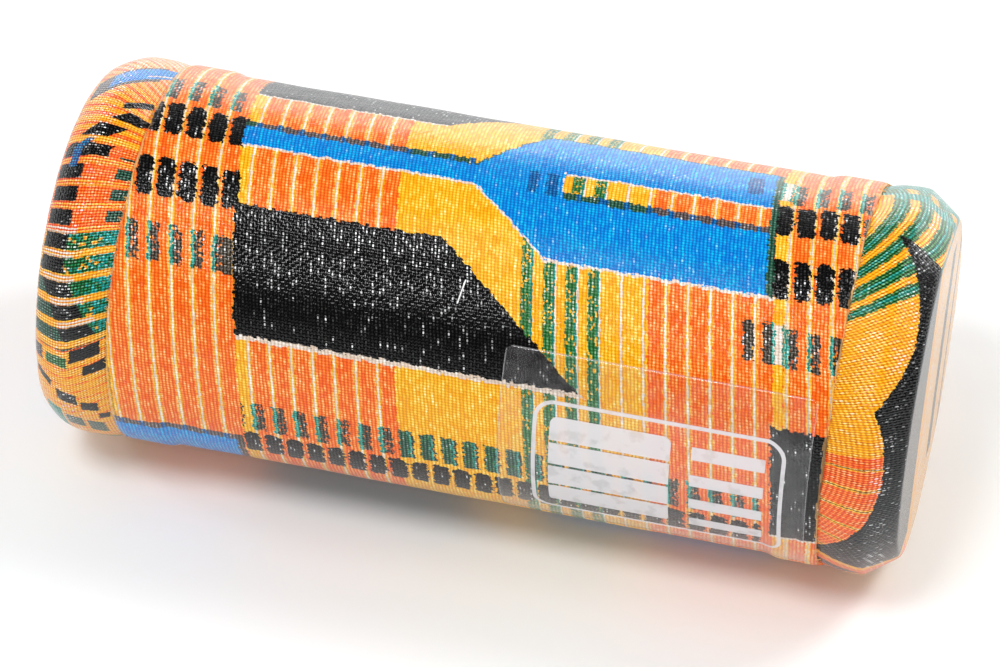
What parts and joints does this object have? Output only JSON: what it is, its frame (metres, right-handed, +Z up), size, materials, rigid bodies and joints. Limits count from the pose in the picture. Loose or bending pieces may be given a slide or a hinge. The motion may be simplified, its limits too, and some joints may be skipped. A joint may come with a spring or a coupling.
{
  "type": "percussion shaker",
  "caption": "Hand-held tube shaker with a capped stiff tube, covered in lacquered printed cotton, with a clear film label and loose shot inside.",
  "frame": {"origin": "centre of the bounding box in X and Y, at the surface that the shaker lies on", "axes": "+X along the tube towards the end with the label, +Z up from the surface, -Y towards the side with the label"},
  "size_m": [0.127, 0.0568, 0.0568],
  "materials": {
    "tube": "extruded, matt, grey",
    "cap": "moulded, matt, grey",
    "printed_cotton": "plain-weave cotton printed with strip-cloth blocks and stripes in orange, amber, blue, green and black, under a clear gloss lacquer",
    "clear_film": "thin clear film with a plain white printed frame",
    "steel_shot": "polished balls"
  },
  "bodies": {
    "shell": {"tube": "tube", "left_cap": "cap", "right_cap": "cap", "body_wrap": "printed_cotton", "left_end_cloth": "printed_cotton", "right_end_cloth": "printed_cotton", "label_film": "clear_film"},
    "lead_shot": {"shot_lead_ball": "steel_shot"},
    "shot_lane_1": {"shot_lane_1_ball_1": "steel_shot", "shot_lane_1_ball_2": "steel_shot", "shot_lane_1_ball_3": "steel_shot", "shot_lane_1_ball_4": "steel_shot", "shot_lane_1_ball_5": "steel_shot", "shot_lane_1_ball_6": "steel_shot", "shot_lane_1_ball_7": "steel_shot", "shot_lane_1_ball_8": "steel_shot"},
    "shot_lane_2": {"shot_lane_2_ball_1": "steel_shot", "shot_lane_2_ball_2": "steel_shot", "shot_lane_2_ball_3": "steel_shot", "shot_lane_2_ball_4": "steel_shot", "shot_lane_2_ball_5": "steel_shot", "shot_lane_2_ball_6": "steel_shot", "shot_lane_2_ball_7": "steel_shot", "shot_lane_2_ball_8": "steel_shot", "shot_lane_2_ball_9": "steel_shot"},
    "shot_lane_3": {"shot_lane_3_ball_1": "steel_shot", "shot_lane_3_ball_2": "steel_shot", "shot_lane_3_ball_3": "steel_shot", "shot_lane_3_ball_4": "steel_shot", "shot_lane_3_ball_5": "steel_shot", "shot_lane_3_ball_6": "steel_shot", "shot_lane_3_ball_7": "steel_shot", "shot_lane_3_ball_8": "steel_shot", "shot_lane_3_ball_9": "steel_shot"},
    "shot_lane_4": {"shot_lane_4_ball_1": "steel_shot", "shot_lane_4_ball_2": "steel_shot", "shot_lane_4_ball_3": "steel_shot", "shot_lane_4_ball_4": "steel_shot", "shot_lane_4_ball_5": "steel_shot", "shot_lane_4_ball_6": "steel_shot", "shot_lane_4_ball_7": "steel_shot", "shot_lane_4_ball_8": "steel_shot", "shot_lane_4_ball_9": "steel_shot"},
    "shot_lane_5": {"shot_lane_5_ball_1": "steel_shot", "shot_lane_5_ball_2": "steel_shot", "shot_lane_5_ball_3": "steel_shot", "shot_lane_5_ball_4": "steel_shot", "shot_lane_5_ball_5": "steel_shot", "shot_lane_5_ball_6": "steel_shot", "shot_lane_5_ball_7": "steel_shot", "shot_lane_5_ball_8": "steel_shot", "shot_lane_5_ball_9": "steel_shot"}
  },
  "joints": [
    {"name": "shot_roll", "type": "hinge", "parent": "shell", "child": "lead_shot", "pos_m": [0, 0, 0.0284], "axis": [1, 0, 0], "continuous": true},
    {"name": "shot_lane_1_slide", "type": "slide", "parent": "lead_shot", "child": "shot_lane_1", "axis": [1, 0, 0], "range_m": [-0.03138, 0.02092]},
    {"name": "shot_lane_2_slide", "type": "slide", "parent": "lead_shot", "child": "shot_lane_2", "axis": [1, 0, 0], "range_m": [-0.0184, 0.0276]},
    {"name": "shot_lane_3_slide", "type": "slide", "parent": "lead_shot", "child": "shot_lane_3", "axis": [1, 0, 0], "range_m": [0, 0.0397]},
    {"name": "shot_lane_4_slide", "type": "slide", "parent": "lead_shot", "child": "shot_lane_4", "axis": [1, 0, 0], "range_m": [-0.0276, 0.0184]},
    {"name": "shot_lane_5_slide", "type": "slide", "parent": "lead_shot", "child": "shot_lane_5", "axis": [1, 0, 0], "range_m": [-0.0161, 0.0299]}
  ]
}
